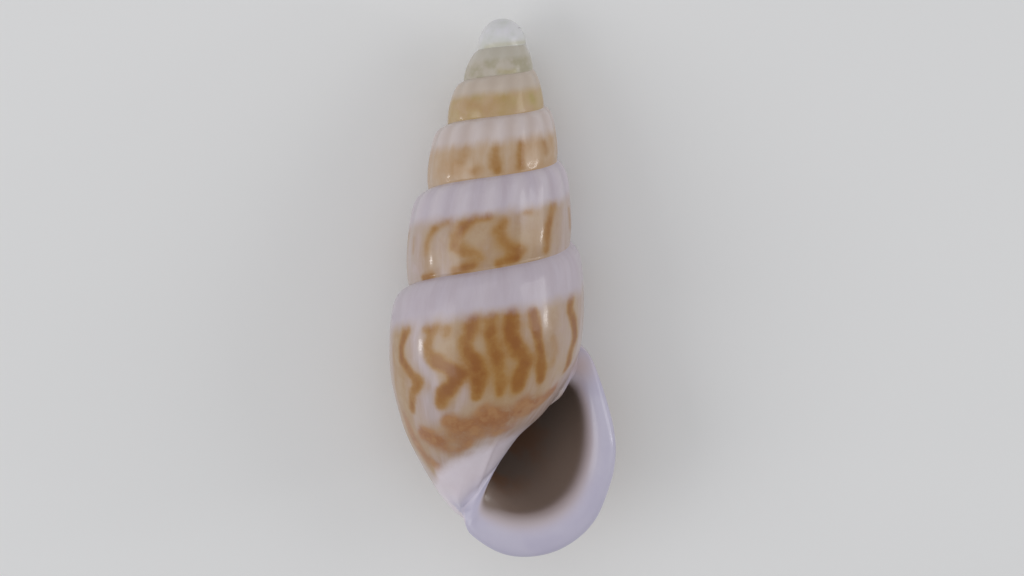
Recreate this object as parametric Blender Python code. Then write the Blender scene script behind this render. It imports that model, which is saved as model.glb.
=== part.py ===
"""A rissoinid shell: one tall, right-handed coil of about seven whorls, grown as a single piece.

The outside is one surface that follows the coil from the apex to the outer lip. Each whorl runs from
the suture above it to the suture below it, and the last whorl carries on over the base to the
anterior tip. At the aperture the surface rolls over a thick, flaring lip and a thin inner lip, and
returns inside as the bore, which winds back up the spire and ends blind near the apex.

The coil is laid out in its own growth frame: +X towards the outer lip, +Y along the coil axis to the
apex, +Z out of the aperture. Theta is the angle of growth: 0 at the lip, negative towards the apex.
The shell then lies on its back, aperture up, on a small flat spot worn under the last two whorls.
"""

from math import cos, pi, radians, sin, tau

import bmesh
import bpy
import numpy as np
from mathutils import Euler, Matrix, Vector

MM = 0.001

# Coil, in mm. One value for each half turn: two half turns past the lip, the lip, then up the spire.
# Heights are measured from the top of the aperture.
SUTURE_RADIUS = [1.460, 1.364, 1.348, 1.237, 1.127, 1.006, 0.883, 0.765, 0.650, 0.550,
                 0.461, 0.384, 0.335, 0.312, 0.262, 0.190, 0.088]
SUTURE_HEIGHT = [-1.968, -0.924, 0.0, 0.790, 1.558, 2.236, 2.780, 3.213, 3.570, 3.869,
                 4.115, 4.330, 4.480, 4.600, 4.700, 4.778, 4.825]
APEX_HEIGHT = 4.838
TURNS = 7

# The first whorls are worn together into a smooth dome, an ellipse turned about the axis, in mm: height
# of its middle, half width and height.
DOME = (4.450, 0.345, 0.388)

# Whorls: how far a whorl swells past the line from suture to suture, as a share of the radius, and
# how soon below the suture the shoulder is reached, as a share of the whorl's height.
SWELL = 0.158
SWELL_LEFT = 0.16
SHOULDER = 0.07

# Base of the last whorl, in mm: radius and height at five places from its waist to the tip, for each
# quarter turn of the last whorl. LEAN moves those places to the left, because the tip is off the axis.
BASE = [
    [(1.235, -0.530), (1.060, -0.930), (0.750, -1.280), (0.540, -1.730), (0.370, -2.215)],
    [(1.245, -0.920), (0.990, -1.310), (0.680, -1.640), (0.440, -1.980), (0.240, -2.320)],
    [(1.185, -1.330), (0.895, -1.680), (0.590, -1.980), (0.355, -2.220), (0.120, -2.420)],
    [(1.235, -1.850), (1.010, -2.210), (0.740, -2.460), (0.470, -2.610), (0.220, -2.650)],
    [(1.340, -2.350), (1.130, -2.670), (0.850, -2.870), (0.520, -2.940), (0.240, -2.800)],
]
LEAN = [0.050, 0.150, 0.250, 0.310, 0.360]
TIP = (-0.374, -2.582)

# Aperture, in mm: the rim of the outer lip, from the suture round to the tip, and the mouth of the
# bore inside it, first along the outer lip and then back up the columella and the inner wall.
LIP = [(1.348, 0.000), (1.504, -0.131), (1.634, -0.395), (1.768, -0.732), (1.872, -1.058),
       (1.936, -1.330), (1.955, -1.600), (1.927, -1.890), (1.850, -2.190), (1.718, -2.540),
       (1.500, -2.825), (1.240, -3.020), (0.955, -3.140), (0.640, -3.188), (0.300, -3.145),
       (-0.025, -2.980), (-0.240, -2.795), TIP]
MOUTH_OUTER = [(1.280, -0.790), (1.400, -0.960), (1.468, -1.290), (1.440, -1.780), (1.285, -2.200),
               (0.990, -2.470), (0.640, -2.560), (0.280, -2.510), (0.010, -2.350)]
MOUTH_INNER = [(0.105, -2.140), (0.185, -1.955), (0.245, -1.730), (0.385, -1.430), (0.590, -1.190),
               (0.850, -0.990), (1.030, -0.860), (1.150, -0.790)]
LIP_SPREAD = 0.30        # how far back from the lip its flare reaches, in radians
LIP_CREST = 0.36         # where the rolled lip is highest, as a share of its width
LIP_RISE = 0.13          # how far the rolled lip stands out of the plane of the aperture
CALLUS_RISE = 0.05
CALLUS_TURN = 0.15       # how far the callus spreads over the front of the last whorl, in radians
TIP_TURN = 0.40

# Bore, in mm: past the mouth it becomes a leaning ellipse that shrinks with the whorls.
BORE_CENTRE = (0.90, -1.58)
BORE_HALF = (0.90, 0.52)
BORE_LEAN = 0.40
BORE_START = -0.36       # growth angle at which the rolled lip has become the bore
BORE_TURNS = 4.5

# Pose, in mm and degrees: on its back, the apex a little down, worn flat where it touches.
REST_PITCH = -8.5
REST_CENTRE = (0.2239, 0.8177)
REST_HEIGHT = 1.4340

# Mesh density
COLUMNS = 36             # in a turn of the outside
ROWS = 8                 # from suture to suture
BASE_ROWS = 8
LIP_LOOPS = (2, 4)       # up the roll of the lip, and down into the bore
BORE_STEPS = 18          # in a turn


def smooth(x):
    x = np.clip(x, 0, 1)
    return x * x * (3 - 2 * x)


def spline(values):
    """A natural cubic spline through the values, taken at 0, 1, 2 and so on."""
    y = np.asarray(values, float)
    n = len(y)
    matrix = np.eye(n) * 4 + np.eye(n, k=1) + np.eye(n, k=-1)
    matrix[0], matrix[-1] = np.eye(n)[0], np.eye(n)[-1]
    bend = np.zeros_like(y)
    bend[1:-1] = 6 * (y[2:] - 2 * y[1:-1] + y[:-2])
    m = np.linalg.solve(matrix, bend)

    def at(u):
        u = np.clip(np.asarray(u, float), 0, n - 1)
        i = np.minimum(u.astype(int), n - 2)
        q = u - i
        p = 1 - q
        if y.ndim > 1:
            p, q = p[..., None], q[..., None]
        return p * y[i] + q * y[i + 1] + ((p**3 - p) * m[i] + (q**3 - q) * m[i + 1]) / 6

    return at


suture_radius, suture_height = spline(SUTURE_RADIUS), spline(SUTURE_HEIGHT)
base_stations = spline(BASE)


def suture(theta):
    u = 2 - np.asarray(theta) / pi
    return suture_radius(u), suture_height(u)


def swell(theta):
    """Swelling of the whorl in mm, and the share of its height that the shoulder takes."""
    young = smooth((-theta - 6.5 * pi) / (4 * pi))
    side = 1 - SWELL_LEFT * cos(theta)
    return SWELL * suture(theta)[0] * side * (1 - 0.25 * young), SHOULDER + 0.22 * young


def whorl(theta, t):
    """Radius and height from the suture above, t 0, to the suture below, t 1."""
    (r0, h0), (r1, h1) = suture(max(theta, (1 - TURNS) * tau)), suture(theta + tau)
    size, shoulder = swell(theta)
    r = r0 + (r1 - r0) * t + size * (1 - np.exp(-t / shoulder)) * (1 - t**3)
    h = h0 + (h1 - h0) * t
    middle, wide, high = DOME
    dome = wide * np.sqrt(1 - np.clip((h - middle) / high, 0, 0.99) ** 2)
    return r + (dome - r) * smooth((-theta / pi - 10.1) / 1.5), h


def base(theta, u):
    """Radius, height and lean from the waist, u 0, to the tip, u 1, as a B-spline that leaves the
    waist in the whorl's own direction."""
    (r0, h0), (r1, h1) = suture(theta), suture(theta + tau)
    size, _ = swell(theta)
    way = np.array([r1 - r0 - 3 * size, h1 - h0, 0.0])
    way /= np.linalg.norm(way)
    places = base_stations(theta / (pi / 2) + 4)
    middle = [np.array([r, h, lean]) for (r, h), lean in zip(places, LEAN)]
    start, end = np.array([r1, h1, 0.0]), np.array([0.0, TIP[1], -TIP[0]])
    before = middle[0] - 2 * np.linalg.norm(middle[0] - start) * way
    first = (6 * start - before - middle[0]) / 4
    poly = np.array([before, first] + middle + [end, 2 * end - middle[-1]])
    n = len(poly) - 3
    x = np.asarray(u, float) * n
    i = np.minimum(x.astype(int), n - 1)
    f = (x - i)[:, None]
    return ((1 - f)**3 * poly[i] + (3 * f**3 - 6 * f**2 + 4) * poly[i + 1]
            + (-3 * f**3 + 3 * f**2 + 3 * f + 1) * poly[i + 2] + f**3 * poly[i + 3]) / 6


def place(theta, radius, height, lean=0.0):
    """A point of the growth frame, from its place in the half-plane at this angle of growth."""
    return (radius * cos(theta) - lean, height, radius * sin(theta))


def domed(point, share):
    """The point of the apical dome at this share of the way out from the axis to a point of its rim."""
    x, _, z = point
    middle, wide, high = DOME
    return (x * share, middle + high * (1 - (x * x + z * z) * (share / wide) ** 2) ** 0.5, z * share)


def lengths(points):
    """Length run along the points, as a share of the whole."""
    run = np.concatenate([[0], np.cumsum(np.linalg.norm(np.diff(points, axis=0), axis=1))])
    return run / run[-1]


def along(curve, low, high, share):
    """Points of a curve between two of its parameters, at shares of the length between them."""
    dense = curve(np.linspace(low, high, 400))
    run = lengths(dense)
    return np.stack([np.interp(share, run, dense[:, k]) for k in (0, 1)], -1)


def relaxed(points, faces, centre, reach, times):
    """Evens out the mesh near a point."""
    edges = sorted({(min(a, b), max(a, b)) for f in faces for a, b in zip(f, f[1:] + f[:1])})
    edges = np.array(edges)
    points = points.copy()
    weight = (1 - smooth(np.linalg.norm(points - centre, axis=1) / reach))[:, None]
    count = np.bincount(edges.ravel(), minlength=len(points))[:, None]
    for _ in range(times):
        total = np.zeros_like(points)
        np.add.at(total, edges[:, 0], points[edges[:, 1]])
        np.add.at(total, edges[:, 1], points[edges[:, 0]])
        points += 0.6 * weight * (total / count - points)
    return points


class Coil:
    """Collects the points and faces of the shell."""

    def __init__(self):
        self.points, self.faces = [], []

    def add(self, point):
        self.points.append(tuple(float(c) for c in point))
        return len(self.points) - 1

    def outside(self):
        """The outer surface, open at the aperture. Returns the two edges of the aperture: the outer
        lip from the suture to the tip, and the inner lip from the suture to the tip."""
        t = (np.arange(ROWS + 1) / ROWS) ** 1.6
        u = np.arange(BASE_ROWS + 1) / BASE_ROWS
        columns = TURNS * COLUMNS
        # the flare is the step from the whorl as it would have grown on, to the rim of the lip
        grown = self.column(0.0, t, u)
        share = lengths(np.stack([grown[:, 0] - grown[:, 2], grown[:, 1]], -1))
        rim = along(spline(LIP), 0, len(LIP) - 1, share)
        flare = rim - np.stack([grown[:, 0] - grown[:, 2], grown[:, 1]], -1)
        tip = self.add((TIP[0], TIP[1], 0.0))
        ids, shared = {}, {}
        for j in range(columns + 1):
            theta = (j - columns) * tau / COLUMNS
            last = j >= columns - COLUMNS
            col = self.column(theta, t, u if last else None)
            if last:
                near = max(0.0, (np.exp(-(theta / LIP_SPREAD) ** 2) - 0.004) / 0.996)
                col[:, :2] += flare * near
            for i, (r, h, lean) in enumerate(col):
                if i == 0 and j in shared:
                    ids[j, i] = shared[j]
                elif j == 0 and i > 0:
                    ids[j, i] = ids[0, 0]
                    shared[COLUMNS] = ids[0, 0]
                elif i == ROWS + BASE_ROWS:
                    ids[j, i] = tip
                else:
                    turn = 0.0
                    if last and i > ROWS:
                        down = (i - ROWS) / BASE_ROWS
                        turn = CALLUS_TURN * smooth(down / 0.10) * (1 - smooth((down - 0.20) / 0.16))
                        turn += TIP_TURN * smooth((down - 0.66) / 0.18)
                        turn *= 1 - smooth((theta + tau) / 1.1)
                    ids[j, i] = self.add(place(theta + turn, r, h, lean))
                    if i == ROWS:
                        shared[j + COLUMNS] = ids[j, i]
        for j in range(columns):
            rows = ROWS + BASE_ROWS if j >= columns - COLUMNS else ROWS
            for i in range(rows):
                corners = [ids[j, i], ids[j, i + 1], ids[j + 1, i + 1], ids[j + 1, i]]
                self.faces.append(tuple(dict.fromkeys(corners)))
        # the dome at the apex
        ring = [ids[j, 0] for j in range(COLUMNS)]
        apex = self.add((0.0, APEX_HEIGHT, 0.0))
        for out in (0.75, 0.67, 0.5):
            inner = [self.add(domed(self.points[k], out)) for k in ring]
            for a, b, c, d in zip(ring, ring[1:] + ring[:1], inner[1:] + inner[:1], inner):
                self.faces.append((a, b, c, d))
            ring = inner
        for a, b in zip(ring, ring[1:] + ring[:1]):
            self.faces.append((apex, a, b))
        outer = [ids[columns, i] for i in range(ROWS + BASE_ROWS)] + [tip]
        inner = [ids[columns - COLUMNS, i] for i in range(ROWS, ROWS + BASE_ROWS)] + [tip]
        return outer, inner, share

    def column(self, theta, t, u=None):
        r, h = whorl(theta, t)
        rows = np.stack([r, h, np.zeros_like(r)], -1)
        return rows if u is None else np.vstack([rows, base(theta, u)[1:]])

    def inside(self, outer, inner, share):
        """The rolled lip, the inner lip and the bore, from the two edges of the aperture inwards."""
        loop = outer + inner[-2:0:-1]
        edge = np.array([self.points[k] for k in loop])
        mouth = MOUTH_OUTER + MOUTH_INNER
        ring = spline(mouth[-3:] + mouth + mouth[:4])
        top, foot, end = 3, 3 + len(MOUTH_OUTER) - 1, 3 + len(mouth)
        lip_share = np.interp(share, [0, 0.1, 0.9, 1], [0, 0.07, 0.95, 1])
        # on the inner side, each point goes to the nearest point of the mouth
        side = np.array([self.points[k] for k in inner[::-1]])[:, :2]
        side_share = lengths(side)
        fine = np.linspace(0, 1, 400)
        curve = along(ring, foot, end, fine)
        gap = np.linalg.norm(side[:, None] - curve[None], axis=2)
        nearest = np.maximum.accumulate(fine[np.argmin(gap, axis=1)])
        nearest[0], nearest[-1] = 0.0, 1.0
        nearest = 0.86 * nearest + 0.14 * side_share
        for _ in range(max(1, BASE_ROWS // 6)):
            nearest[1:-1] = (nearest[:-2] + 2 * nearest[1:-1] + nearest[2:]) / 4
        inset = np.vstack([along(ring, top, foot, lip_share), along(ring, foot, end, nearest)[1:-1]])

        centre = inset.mean(0)
        angle = np.arctan2(inset[:, 1] - centre[1], inset[:, 0] - centre[0])
        ray = np.stack([np.cos(angle), np.sin(angle)], -1)
        major = np.array([sin(BORE_LEAN), cos(BORE_LEAN)])
        minor = np.array([major[1], -major[0]])
        size = 1 / np.sqrt((ray @ major / BORE_HALF[0]) ** 2 + (ray @ minor / BORE_HALF[1]) ** 2)
        oval = np.array(BORE_CENTRE) + ray * size[:, None]
        # beside the columella the mouth's own shape goes on further in, so that no ledge shows there
        slow = 1.6 + 3.4 * smooth((0.80 - inset[:, 0]) / 0.6)
        (r_lip, h_lip), h_next = suture(0.0), suture(tau)[1]

        def bore(theta):
            blend = smooth(-theta / slow)[:, None]
            p = inset * (1 - blend) + oval * blend
            r, h = suture(theta)
            scale = (h - suture(theta + tau)[1]) / (h_lip - h_next)
            radius = p[:, 0] * r / r_lip
            return np.stack([radius * cos(theta), h + (p[:, 1] - h_lip) * scale, radius * sin(theta)], -1)

        # 1 where the surface rolls over like a lip, 0 where it turns back round the columella
        n_lip = len(outer)
        down = 1 - side_share[1:-1]
        roll = np.concatenate([np.ones(n_lip), np.maximum(1 - smooth((down - 0.10) / 0.14),
                                                          1 - smooth((1 - down - 0.17) / 0.13))])
        rise = np.concatenate([
            CALLUS_RISE + (LIP_RISE - CALLUS_RISE) * smooth(share / 0.18) - 0.06 * smooth((share - 0.8) / 0.2),
            np.full(len(loop) - n_lip, CALLUS_RISE)])
        crest = edge.copy()
        crest[:, :2] += LIP_CREST * (inset - edge[:, :2])
        deep = bore(BORE_START)
        up, into = LIP_LOOPS
        loops = [loop]
        for q in range(1, up + into + 1):
            if q <= up:
                b = q / up * pi / 2
                lip = edge + (crest - edge) * (1 - cos(b))
                lip[:, 2] = edge[:, 2] + (rise - edge[:, 2]) * sin(b)
            else:
                b = (q - up) / into * pi / 2
                lip = crest + (deep - crest) * sin(b)
                lip[:, 2] = deep[:, 2] + (rise - deep[:, 2]) * cos(b)
            x = q / (up + into)
            wall = edge.copy()
            wall[:, :2] += (inset - edge[:, :2]) * smooth(x) + (deep[:, :2] - inset) * x * x
            wall[:, 2] = edge[:, 2] * (1 - x) + deep[:, 2] * x
            points = lip * roll[:, None] + wall * (1 - roll)[:, None]
            loops.append([self.add(p) for p in points])
        for q in range(1, int(BORE_TURNS * BORE_STEPS) + 1):
            loops.append([self.add(p) for p in bore(BORE_START - q * tau / BORE_STEPS)])
        for a, b in zip(loops, loops[1:]):
            for k in range(len(loop)):
                n = (k + 1) % len(loop)
                self.faces.append((a[k], a[n], b[n], b[k]))
        blind = self.add(np.mean([self.points[k] for k in loops[-1]], axis=0))
        for k in range(len(loop)):
            self.faces.append((loops[-1][k], loops[-1][(k + 1) % len(loop)], blind))


def shell_mesh():
    coil = Coil()
    coil.inside(*coil.outside())
    fine = (COLUMNS / 32) ** 1.5
    points = np.array(coil.points)
    for centre, reach, times in (((TIP[0], TIP[1], 0.0), 0.34, 4 * fine),
                                 ((-0.10, -2.32, 0.04), 0.30, 3 * fine),
                                 ((0.0, APEX_HEIGHT, 0.0), 0.16, COLUMNS / 20)):
        points = relaxed(points, coil.faces, np.array(centre), reach, max(1, int(times)))
    mesh = bpy.data.meshes.new("shell")
    mesh.from_pydata([tuple(p) for p in points * MM], [], coil.faces)
    return mesh


def wear_flat(mesh, pose):
    """Cuts the shell off level where it touches the ground, and closes the cuts."""
    down = pose.inverted()
    bm = bmesh.new()
    bm.from_mesh(mesh)
    bmesh.ops.recalc_face_normals(bm, faces=bm.faces)
    cut = bmesh.ops.bisect_plane(
        bm, geom=bm.verts[:] + bm.edges[:] + bm.faces[:], dist=1e-8,
        plane_co=down @ Vector((0, 0, 0)), plane_no=down.to_3x3() @ Vector((0, 0, -1)), clear_outer=True)
    edges = [e for e in cut["geom_cut"] if isinstance(e, bmesh.types.BMEdge)]
    bmesh.ops.holes_fill(bm, edges=edges)
    bmesh.ops.recalc_face_normals(bm, faces=bm.faces)
    bm.to_mesh(mesh)
    bm.free()


def shell_material():
    material = bpy.data.materials.new("shell")
    material.use_nodes = True
    shader = material.node_tree.nodes["Principled BSDF"]
    shader.inputs["Base Color"].default_value = (0.40, 0.30, 0.25, 1.0)
    shader.inputs["Roughness"].default_value = 0.3
    shader.inputs["Metallic"].default_value = 0.0
    material.diffuse_color = (0.40, 0.30, 0.25, 1.0)
    return material


def main():
    for obj in list(bpy.data.objects):
        bpy.data.objects.remove(obj, do_unlink=True)
    pose = Matrix.Translation(Vector((-REST_CENTRE[0], -REST_CENTRE[1], REST_HEIGHT)) * MM) \
        @ Euler((radians(REST_PITCH), 0, 0)).to_matrix().to_4x4()
    mesh = shell_mesh()
    wear_flat(mesh, pose)
    mesh.materials.append(shell_material())
    mesh.shade_smooth()
    mesh.set_sharp_from_angle(angle=radians(50))
    shell = bpy.data.objects.new("shell", mesh)
    bpy.context.scene.collection.objects.link(shell)
    shell.location = pose.translation
    shell.rotation_euler = (radians(REST_PITCH), 0, 0)


main()
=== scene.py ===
from math import cos, pi, radians, sin, tau

import bpy
import numpy as np
from mathutils import Euler, Matrix, Vector, noise
from mathutils.bvhtree import BVHTree
from mathutils.interpolate import poly_3d_calc


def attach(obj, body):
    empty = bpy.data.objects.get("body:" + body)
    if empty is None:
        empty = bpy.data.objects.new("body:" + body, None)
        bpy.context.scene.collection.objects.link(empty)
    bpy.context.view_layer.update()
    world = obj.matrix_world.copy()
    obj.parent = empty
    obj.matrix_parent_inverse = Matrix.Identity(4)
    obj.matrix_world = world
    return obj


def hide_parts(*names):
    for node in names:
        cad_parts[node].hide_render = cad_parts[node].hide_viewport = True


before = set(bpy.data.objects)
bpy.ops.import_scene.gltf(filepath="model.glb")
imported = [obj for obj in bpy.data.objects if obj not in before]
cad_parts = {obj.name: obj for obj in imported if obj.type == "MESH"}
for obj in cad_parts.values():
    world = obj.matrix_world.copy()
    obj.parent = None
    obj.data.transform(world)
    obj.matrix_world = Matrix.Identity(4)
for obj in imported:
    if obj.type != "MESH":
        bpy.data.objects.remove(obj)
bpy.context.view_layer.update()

MM = 0.001

# ---------------------------------------------------------------- the coil, as the CAD part has it

SUTURE_RADIUS = [1.460, 1.364, 1.348, 1.237, 1.127, 1.006, 0.883, 0.765, 0.650, 0.550,
                 0.461, 0.384, 0.335, 0.312, 0.262, 0.190, 0.088]
SUTURE_HEIGHT = [-1.968, -0.924, 0.0, 0.790, 1.558, 2.236, 2.780, 3.213, 3.570, 3.869,
                 4.115, 4.330, 4.480, 4.600, 4.700, 4.778, 4.825]
APEX_HEIGHT = 4.838
DOME = (4.450, 0.345, 0.388)
TURNS = 7
SWELL = 0.158
SWELL_LEFT = 0.16
SHOULDER = 0.07
BASE = [
    [(1.235, -0.530), (1.060, -0.930), (0.750, -1.280), (0.540, -1.730), (0.370, -2.215)],
    [(1.245, -0.920), (0.990, -1.310), (0.680, -1.640), (0.440, -1.980), (0.240, -2.320)],
    [(1.185, -1.330), (0.895, -1.680), (0.590, -1.980), (0.355, -2.220), (0.120, -2.420)],
    [(1.235, -1.850), (1.010, -2.210), (0.740, -2.460), (0.470, -2.610), (0.220, -2.650)],
    [(1.340, -2.350), (1.130, -2.670), (0.850, -2.870), (0.520, -2.940), (0.240, -2.800)],
]
LEAN = [0.050, 0.150, 0.250, 0.310, 0.360]
TIP = (-0.374, -2.582)
LIP = [(1.348, 0.000), (1.504, -0.131), (1.634, -0.395), (1.768, -0.732), (1.872, -1.058),
       (1.936, -1.330), (1.955, -1.600), (1.927, -1.890), (1.850, -2.190), (1.718, -2.540),
       (1.500, -2.825), (1.240, -3.020), (0.955, -3.140), (0.640, -3.188), (0.300, -3.145),
       (-0.025, -2.980), (-0.240, -2.795), TIP]
MOUTH_OUTER = [(1.280, -0.790), (1.400, -0.960), (1.468, -1.290), (1.440, -1.780), (1.285, -2.200),
               (0.990, -2.470), (0.640, -2.560), (0.280, -2.510), (0.010, -2.350)]
MOUTH_INNER = [(0.105, -2.140), (0.185, -1.955), (0.245, -1.730), (0.385, -1.430), (0.590, -1.190),
               (0.850, -0.990), (1.030, -0.860), (1.150, -0.790)]
LIP_SPREAD, LIP_CREST, LIP_RISE = 0.30, 0.36, 0.13
CALLUS_RISE, CALLUS_TURN, TIP_TURN = 0.05, 0.15, 0.40
BORE_CENTRE, BORE_HALF, BORE_LEAN = (0.90, -1.58), (0.90, 0.52), 0.40
BORE_START, BORE_TURNS = -0.36, 4.5
REST_PITCH, REST_CENTRE, REST_HEIGHT = -8.5, (0.2239, 0.8177), 1.4340

COLUMNS, ROWS, BASE_ROWS = 180, 40, 36
LIP_LOOPS = (8, 16)
BORE_STEPS = 24

# ---------------------------------------------------------------- sculpture: axial ribs

# Ribs in each half turn, from the lip up the spire, and how far they stand out, in mm
RIBS = [10.0, 9.5, 9.0, 8.5, 8.5, 8.0, 7.5, 7.0, 6.5, 6.0, 6.0, 6.0, 6.0, 6.0]
RIB_HEIGHT = [0.003, 0.006, 0.016, 0.028, 0.034, 0.033, 0.028, 0.022, 0.015, 0.009, 0.004, 0.0, 0.0, 0.0, 0.0]
RIB_OFFSET = 0.36


def smooth(x):
    x = np.clip(x, 0, 1)
    return x * x * (3 - 2 * x)


def spline(values):
    """A natural cubic spline through the values, taken at 0, 1, 2 and so on."""
    y = np.asarray(values, float)
    n = len(y)
    matrix = np.eye(n) * 4 + np.eye(n, k=1) + np.eye(n, k=-1)
    matrix[0], matrix[-1] = np.eye(n)[0], np.eye(n)[-1]
    bend = np.zeros_like(y)
    bend[1:-1] = 6 * (y[2:] - 2 * y[1:-1] + y[:-2])
    m = np.linalg.solve(matrix, bend)

    def at(u):
        u = np.clip(np.asarray(u, float), 0, n - 1)
        i = np.minimum(u.astype(int), n - 2)
        q = u - i
        p = 1 - q
        if y.ndim > 1:
            p, q = p[..., None], q[..., None]
        return p * y[i] + q * y[i + 1] + ((p**3 - p) * m[i] + (q**3 - q) * m[i + 1]) / 6

    return at


suture_radius, suture_height = spline(SUTURE_RADIUS), spline(SUTURE_HEIGHT)
base_stations = spline(BASE)
rib_count = spline(np.concatenate([[0], np.cumsum(RIBS)]))
rib_height = spline(RIB_HEIGHT)


def suture(theta):
    u = 2 - np.asarray(theta) / pi
    return suture_radius(u), suture_height(u)


def rib_wave(theta, t):
    """1 on the crest of an axial rib, 0 midway between two."""
    return (0.5 + 0.5 * np.cos(tau * (rib_count(-np.asarray(theta) / pi) + RIB_OFFSET + 0.10 * t)))


def ribs(theta, t):
    """How far the axial ribs lift the surface, in mm: rounded knobs below the suture that fade down
    the whorl."""
    u = -np.asarray(theta) / pi
    t = np.asarray(t, float)
    wave = rib_wave(theta, t) - 0.5
    shape = smooth(t / 0.10) * (0.38 + 0.62 * np.exp(-np.maximum(t - 0.14, 0) ** 2 / 0.06)) * smooth((1 - t) / 0.12)
    return rib_height(u) * wave * shape


def swell(theta):
    young = smooth((-theta - 6.5 * pi) / (4 * pi))
    side = 1 - SWELL_LEFT * cos(theta)
    return SWELL * suture(theta)[0] * side * (1 - 0.25 * young), SHOULDER + 0.22 * young


def whorl(theta, t):
    """Radius and height from the suture above, t 0, to the suture below, t 1."""
    (r0, h0), (r1, h1) = suture(max(theta, (1 - TURNS) * tau)), suture(theta + tau)
    size, shoulder = swell(theta)
    r = r0 + (r1 - r0) * t + size * (1 - np.exp(-t / shoulder)) * (1 - t**3)
    h = h0 + (h1 - h0) * t
    middle, wide, high = DOME
    dome = wide * np.sqrt(1 - np.clip((h - middle) / high, 0, 0.99) ** 2)
    r = r + (dome - r) * smooth((-theta / pi - 10.1) / 1.5)
    return r + ribs(theta, t), h


def base(theta, u):
    """Radius, height and lean from the waist, u 0, to the tip, u 1."""
    (r0, h0), (r1, h1) = suture(theta), suture(theta + tau)
    size, _ = swell(theta)
    way = np.array([r1 - r0 - 3 * size, h1 - h0, 0.0])
    way /= np.linalg.norm(way)
    places = base_stations(theta / (pi / 2) + 4)
    middle = [np.array([r, h, lean]) for (r, h), lean in zip(places, LEAN)]
    start, end = np.array([r1, h1, 0.0]), np.array([0.0, TIP[1], -TIP[0]])
    before = middle[0] - 2 * np.linalg.norm(middle[0] - start) * way
    first = (6 * start - before - middle[0]) / 4
    poly = np.array([before, first] + middle + [end, 2 * end - middle[-1]])
    n = len(poly) - 3
    x = np.asarray(u, float) * n
    i = np.minimum(x.astype(int), n - 1)
    f = (x - i)[:, None]
    return ((1 - f)**3 * poly[i] + (3 * f**3 - 6 * f**2 + 4) * poly[i + 1]
            + (-3 * f**3 + 3 * f**2 + 3 * f + 1) * poly[i + 2] + f**3 * poly[i + 3]) / 6


def place(theta, radius, height, lean=0.0):
    return (radius * cos(theta) - lean, height, radius * sin(theta))


def domed(point, share):
    """The point of the apical dome at this share of the way out from the axis to a point of its rim."""
    x, _, z = point
    middle, wide, high = DOME
    return (x * share, middle + high * (1 - (x * x + z * z) * (share / wide) ** 2) ** 0.5, z * share)


def lengths(points):
    run = np.concatenate([[0], np.cumsum(np.linalg.norm(np.diff(points, axis=0), axis=1))])
    return run / run[-1]


def along(curve, low, high, share):
    dense = curve(np.linspace(low, high, 400))
    run = lengths(dense)
    return np.stack([np.interp(share, run, dense[:, k]) for k in (0, 1)], -1)


def relaxed(points, faces, weight, times, way=None):
    """Draws each point towards its neighbours; with a way, only along it and never back, which fills
    hollows and leaves crests."""
    edges = np.array(sorted({(min(a, b), max(a, b)) for f in faces for a, b in zip(f, f[1:] + f[:1])}))
    edges = edges[(weight[edges] > 0).any(axis=1)]
    moved = np.nonzero(weight > 0)[0]
    points, weight = points.copy(), weight[moved, None]
    count = np.bincount(edges.ravel(), minlength=len(points))[moved, None]
    for _ in range(times):
        total = np.zeros_like(points)
        np.add.at(total, edges[:, 0], points[edges[:, 1]])
        np.add.at(total, edges[:, 1], points[edges[:, 0]])
        step = total[moved] / count - points[moved]
        if way is not None:
            step = np.maximum(step @ way, 0)[:, None] * way
        points[moved] += 0.6 * weight * step
    return points


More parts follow.
